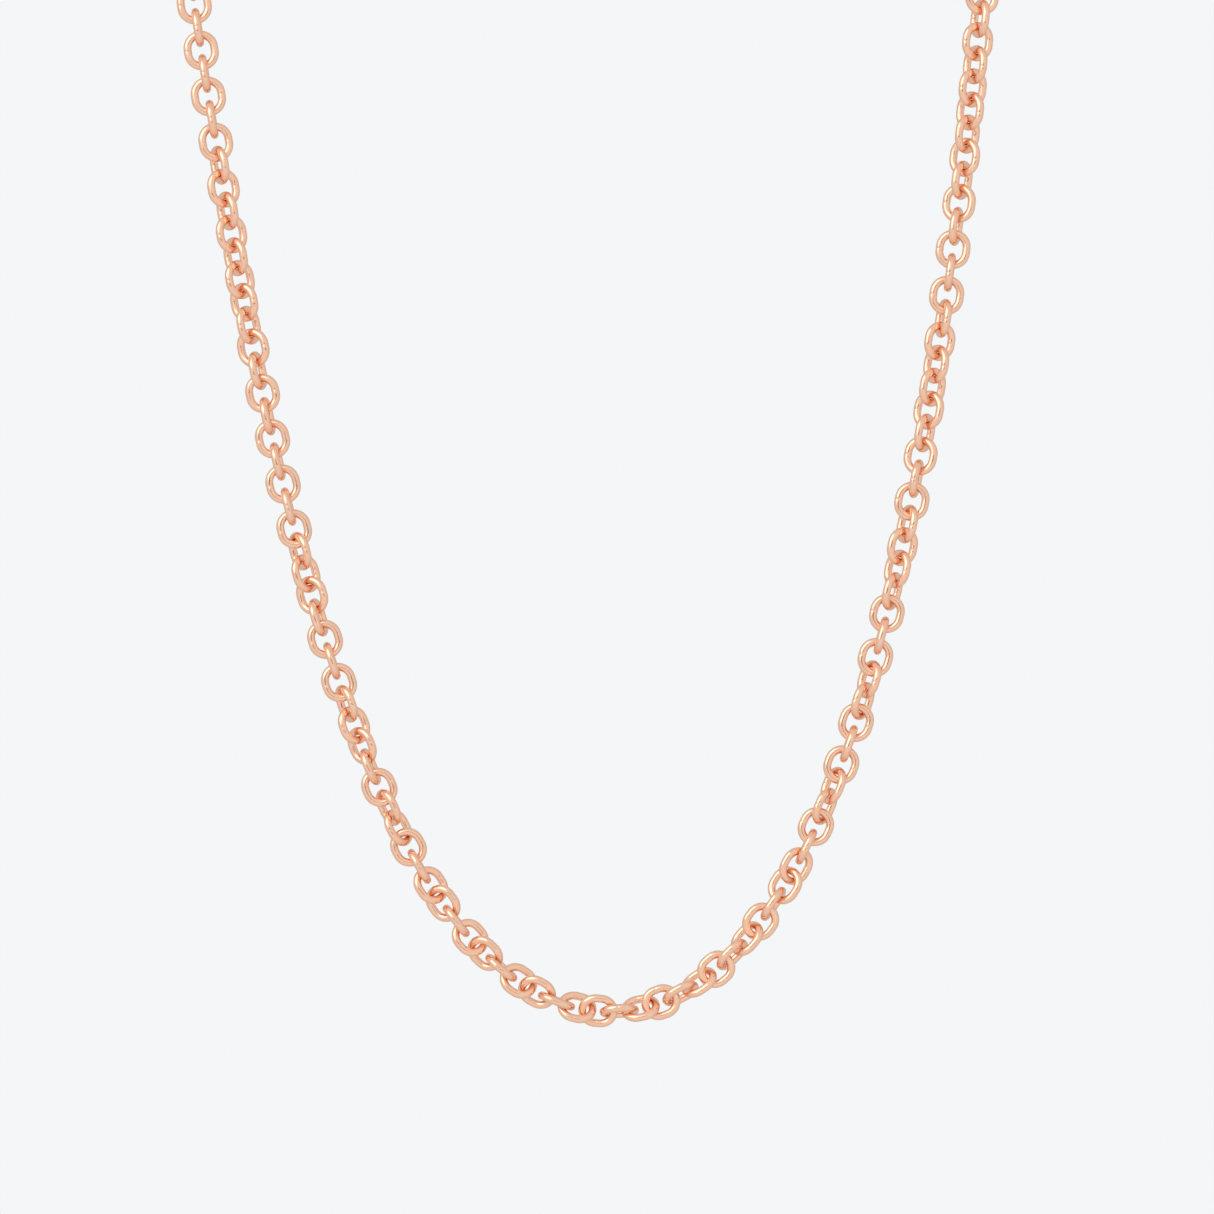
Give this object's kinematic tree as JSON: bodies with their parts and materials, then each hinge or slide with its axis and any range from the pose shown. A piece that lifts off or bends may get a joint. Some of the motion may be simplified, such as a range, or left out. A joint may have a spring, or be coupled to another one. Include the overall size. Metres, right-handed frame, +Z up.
{
  "type": "cable chain necklace",
  "caption": "Fine necklace of slightly oval round-wire links, laid open in a U, with a lobster clasp on one end and a plain ring on the other.",
  "frame": {"origin": "on the table, straight under the lowest point of the curve that the chain hangs in", "axes": "+Z up from the table, +Y from the lowest point of the U towards the clasp and the end ring, +X towards the end ring's side"},
  "size_m": [0.1141, 0.2163, 0.004],
  "materials": {
    "rose_gold": "polished rose-gold plate",
    "spring_steel": "bright drawn wire"
  },
  "bodies": {
    "chain_left_20": {"chain_left_20": "rose_gold"},
    "chain_left_19": {"chain_left_19": "rose_gold"},
    "chain_left_18": {"chain_left_18": "rose_gold"},
    "chain_left_17": {"chain_left_17": "rose_gold"},
    "chain_left_16": {"chain_left_16": "rose_gold"},
    "chain_left_15": {"chain_left_15": "rose_gold"},
    "chain_left_14": {"chain_left_14": "rose_gold"},
    "chain_left_13": {"chain_left_13": "rose_gold"},
    "chain_left_12": {"chain_left_12": "rose_gold"},
    "chain_left_11": {"chain_left_11": "rose_gold"},
    "chain_left_10": {"chain_left_10": "rose_gold"},
    "chain_left_09": {"chain_left_09": "rose_gold"},
    "chain_left_08": {"chain_left_08": "rose_gold"},
    "chain_left_07": {"chain_left_07": "rose_gold"},
    "chain_left_06": {"chain_left_06": "rose_gold"},
    "chain_left_05": {"chain_left_05": "rose_gold"},
    "chain_left_04": {"chain_left_04": "rose_gold"},
    "chain_left_03": {"chain_left_03": "rose_gold"},
    "chain_left_02": {"chain_left_02": "rose_gold"},
    "chain_left_01": {"chain_left_01": "rose_gold"},
    "chain_centre": {"chain_centre": "rose_gold"},
    "chain_right_01": {"chain_right_01": "rose_gold"},
    "chain_right_02": {"chain_right_02": "rose_gold"},
    "chain_right_03": {"chain_right_03": "rose_gold"},
    "chain_right_04": {"chain_right_04": "rose_gold"},
    "chain_right_05": {"chain_right_05": "rose_gold"},
    "chain_right_06": {"chain_right_06": "rose_gold"},
    "chain_right_07": {"chain_right_07": "rose_gold"},
    "chain_right_08": {"chain_right_08": "rose_gold"},
    "chain_right_09": {"chain_right_09": "rose_gold"},
    "chain_right_10": {"chain_right_10": "rose_gold"},
    "chain_right_11": {"chain_right_11": "rose_gold"},
    "chain_right_12": {"chain_right_12": "rose_gold"},
    "chain_right_13": {"chain_right_13": "rose_gold"},
    "chain_right_14": {"chain_right_14": "rose_gold"},
    "chain_right_15": {"chain_right_15": "rose_gold"},
    "chain_right_16": {"chain_right_16": "rose_gold"},
    "chain_right_17": {"chain_right_17": "rose_gold"},
    "chain_right_18": {"chain_right_18": "rose_gold"},
    "chain_right_19": {"chain_right_19": "rose_gold"},
    "chain_right_20": {"chain_right_20": "rose_gold"},
    "jump_ring_left": {"jump_ring_left": "rose_gold"},
    "clasp": {"clasp_body": "rose_gold", "clasp_rivet": "rose_gold", "clasp_spring": "spring_steel"},
    "clasp_lever": {"clasp_lever": "rose_gold"},
    "jump_ring_right": {"jump_ring_right": "rose_gold"},
    "end_ring": {"end_ring": "rose_gold"}
  },
  "joints": [
    {"name": "clasp_lever_hinge", "type": "hinge", "parent": "clasp", "child": "clasp_lever", "pos_m": [-0.05214, 0.20829, 0.00135], "axis": [0, 0, 1], "range_deg": [0, 32], "stiffness_Nm_per_rad": 0.003, "springref_deg": -17.19},
    {"name": "clasp_swing", "type": "hinge", "parent": "jump_ring_left", "child": "clasp", "pos_m": [-0.05372, 0.20406, 0.00135], "axis": [0, 0, 1], "range_deg": [-60, 60]},
    {"name": "jump_ring_left_swing", "type": "hinge", "parent": "chain_left_20", "child": "jump_ring_left", "pos_m": [-0.05349, 0.20096, 0.002], "axis": [0, 0, 1], "range_deg": [-50, 50]},
    {"name": "end_ring_swing", "type": "hinge", "parent": "jump_ring_right", "child": "end_ring", "pos_m": [0.05364, 0.20295, 0.00135], "axis": [0, 0, 1], "range_deg": [-35, 35]},
    {"name": "jump_ring_right_swing", "type": "hinge", "parent": "chain_right_20", "child": "jump_ring_right", "pos_m": [0.0534, 0.19976, 0.002], "axis": [0, 0, 1], "range_deg": [-50, 50]},
    {"name": "left_01_bend", "type": "hinge", "parent": "chain_centre", "child": "chain_left_01", "pos_m": [-0.00517, 0.00078, 0.002], "axis": [0, 0, 1], "range_deg": [-25, 25]},
    {"name": "right_01_bend", "type": "hinge", "parent": "chain_centre", "child": "chain_right_01", "pos_m": [0.00527, 0.00078, 0.002], "axis": [0, 0, 1], "range_deg": [-25, 25]},
    {"name": "left_02_bend", "type": "hinge", "parent": "chain_left_01", "child": "chain_left_02", "pos_m": [-0.01403, 0.00639, 0.002], "axis": [0, 0, -1], "range_deg": [-25, 25]},
    {"name": "right_02_bend", "type": "hinge", "parent": "chain_right_01", "child": "chain_right_02", "pos_m": [0.01259, 0.00508, 0.002], "axis": [0, 0, -1], "range_deg": [-25, 25]},
    {"name": "left_03_bend", "type": "hinge", "parent": "chain_left_02", "child": "chain_left_03", "pos_m": [-0.0201, 0.01403, 0.002], "axis": [0, 0, 1], "range_deg": [-10, 15]},
    {"name": "right_03_bend", "type": "hinge", "parent": "chain_right_02", "child": "chain_right_03", "pos_m": [0.01961, 0.01327, 0.002], "axis": [0, 0, 1], "range_deg": [-25, 25]},
    {"name": "left_04_bend", "type": "hinge", "parent": "chain_left_03", "child": "chain_left_04", "pos_m": [-0.0249, 0.02301, 0.002], "axis": [0, 0, -1], "range_deg": [-30, 30]},
    {"name": "right_04_bend", "type": "hinge", "parent": "chain_right_03", "child": "chain_right_04", "pos_m": [0.02414, 0.02138, 0.002], "axis": [0, 0, -1], "range_deg": [-30, 30]},
    {"name": "left_05_bend", "type": "hinge", "parent": "chain_left_04", "child": "chain_left_05", "pos_m": [-0.02873, 0.03258, 0.002], "axis": [0, 0, 1], "range_deg": [-25, 25]},
    {"name": "right_05_bend", "type": "hinge", "parent": "chain_right_04", "child": "chain_right_05", "pos_m": [0.02848, 0.03187, 0.002], "axis": [0, 0, 1], "range_deg": [-30, 30]},
    {"name": "left_06_bend", "type": "hinge", "parent": "chain_left_05", "child": "chain_left_06", "pos_m": [-0.03202, 0.04294, 0.002], "axis": [0, 0, -1], "range_deg": [-30, 30]},
    {"name": "right_06_bend", "type": "hinge", "parent": "chain_right_05", "child": "chain_right_06", "pos_m": [0.03143, 0.04094, 0.002], "axis": [0, 0, -1], "range_deg": [-30, 30]},
    {"name": "left_07_bend", "type": "hinge", "parent": "chain_left_06", "child": "chain_left_07", "pos_m": [-0.03459, 0.05271, 0.002], "axis": [0, 0, 1], "range_deg": [-25, 25]},
    {"name": "right_07_bend", "type": "hinge", "parent": "chain_right_06", "child": "chain_right_07", "pos_m": [0.03434, 0.05169, 0.002], "axis": [0, 0, 1], "range_deg": [-20, 15]},
    {"name": "left_08_bend", "type": "hinge", "parent": "chain_left_07", "child": "chain_left_08", "pos_m": [-0.03684, 0.06267, 0.002], "axis": [0, 0, -1], "range_deg": [-35, 35]},
    {"name": "right_08_bend", "type": "hinge", "parent": "chain_right_07", "child": "chain_right_08", "pos_m": [0.03678, 0.06237, 0.002], "axis": [0, 0, -1], "range_deg": [-40, 40]},
    {"name": "left_09_bend", "type": "hinge", "parent": "chain_left_08", "child": "chain_left_09", "pos_m": [-0.03889, 0.07303, 0.002], "axis": [0, 0, 1], "range_deg": [-40, 40]},
    {"name": "right_09_bend", "type": "hinge", "parent": "chain_right_08", "child": "chain_right_09", "pos_m": [0.03878, 0.07244, 0.002], "axis": [0, 0, 1], "range_deg": [-15, 15]},
    {"name": "left_10_bend", "type": "hinge", "parent": "chain_left_09", "child": "chain_left_10", "pos_m": [-0.04084, 0.08419, 0.002], "axis": [0, 0, -1], "range_deg": [-10, 10]},
    {"name": "right_10_bend", "type": "hinge", "parent": "chain_right_09", "child": "chain_right_10", "pos_m": [0.04057, 0.08256, 0.002], "axis": [0, 0, -1], "range_deg": [-45, 45]},
    {"name": "left_11_bend", "type": "hinge", "parent": "chain_left_10", "child": "chain_left_11", "pos_m": [-0.04255, 0.09522, 0.002], "axis": [0, 0, 1], "range_deg": [-15, 15]},
    {"name": "right_11_bend", "type": "hinge", "parent": "chain_right_10", "child": "chain_right_11", "pos_m": [0.04225, 0.09315, 0.002], "axis": [0, 0, 1], "range_deg": [-15, 15]},
    {"name": "left_12_bend", "type": "hinge", "parent": "chain_left_11", "child": "chain_left_12", "pos_m": [-0.04405, 0.10583, 0.002], "axis": [0, 0, -1], "range_deg": [-45, 45]},
    {"name": "right_12_bend", "type": "hinge", "parent": "chain_right_11", "child": "chain_right_12", "pos_m": [0.04383, 0.1042, 0.002], "axis": [0, 0, -1], "range_deg": [-10, 10]},
    {"name": "left_13_bend", "type": "hinge", "parent": "chain_left_12", "child": "chain_left_13", "pos_m": [-0.04542, 0.11646, 0.002], "axis": [0, 0, 1], "range_deg": [-45, 45]},
    {"name": "right_13_bend", "type": "hinge", "parent": "chain_right_12", "child": "chain_right_13", "pos_m": [0.0453, 0.11543, 0.002], "axis": [0, 0, 1], "range_deg": [-25, 25]},
    {"name": "left_14_bend", "type": "hinge", "parent": "chain_left_13", "child": "chain_left_14", "pos_m": [-0.04669, 0.12711, 0.002], "axis": [0, 0, -1], "range_deg": [-45, 45]},
    {"name": "right_14_bend", "type": "hinge", "parent": "chain_right_13", "child": "chain_right_14", "pos_m": [0.04655, 0.12592, 0.002], "axis": [0, 0, -1], "range_deg": [-45, 45]},
    {"name": "left_15_bend", "type": "hinge", "parent": "chain_left_14", "child": "chain_left_15", "pos_m": [-0.04786, 0.13776, 0.002], "axis": [0, 0, 1], "range_deg": [-45, 45]},
    {"name": "right_15_bend", "type": "hinge", "parent": "chain_right_14", "child": "chain_right_15", "pos_m": [0.04774, 0.13657, 0.002], "axis": [0, 0, 1], "range_deg": [-45, 45]},
    {"name": "left_16_bend", "type": "hinge", "parent": "chain_left_15", "child": "chain_left_16", "pos_m": [-0.04896, 0.14843, 0.002], "axis": [0, 0, -1], "range_deg": [-45, 45]},
    {"name": "right_16_bend", "type": "hinge", "parent": "chain_right_15", "child": "chain_right_16", "pos_m": [0.04884, 0.14723, 0.002], "axis": [0, 0, -1], "range_deg": [-45, 45]},
    {"name": "left_17_bend", "type": "hinge", "parent": "chain_left_16", "child": "chain_left_17", "pos_m": [-0.04995, 0.15866, 0.002], "axis": [0, 0, 1], "range_deg": [-15, 15]},
    {"name": "right_17_bend", "type": "hinge", "parent": "chain_right_16", "child": "chain_right_17", "pos_m": [0.04984, 0.15746, 0.002], "axis": [0, 0, 1], "range_deg": [-15, 15]},
    {"name": "left_18_bend", "type": "hinge", "parent": "chain_left_17", "child": "chain_left_18", "pos_m": [-0.05088, 0.16889, 0.002], "axis": [0, 0, -1], "range_deg": [-30, 30]},
    {"name": "right_18_bend", "type": "hinge", "parent": "chain_right_17", "child": "chain_right_18", "pos_m": [0.05077, 0.16769, 0.002], "axis": [0, 0, -1], "range_deg": [-20, 20]},
    {"name": "left_19_bend", "type": "hinge", "parent": "chain_left_18", "child": "chain_left_19", "pos_m": [-0.0518, 0.17957, 0.002], "axis": [0, 0, 1], "range_deg": [-45, 45]},
    {"name": "right_19_bend", "type": "hinge", "parent": "chain_right_18", "child": "chain_right_19", "pos_m": [0.0517, 0.17837, 0.002], "axis": [0, 0, 1], "range_deg": [-45, 45]},
    {"name": "left_20_bend", "type": "hinge", "parent": "chain_left_19", "child": "chain_left_20", "pos_m": [-0.05266, 0.19025, 0.002], "axis": [0, 0, -1], "range_deg": [-45, 45]},
    {"name": "right_20_bend", "type": "hinge", "parent": "chain_right_19", "child": "chain_right_20", "pos_m": [0.05257, 0.18906, 0.002], "axis": [0, 0, -1], "range_deg": [-45, 45]}
  ]
}
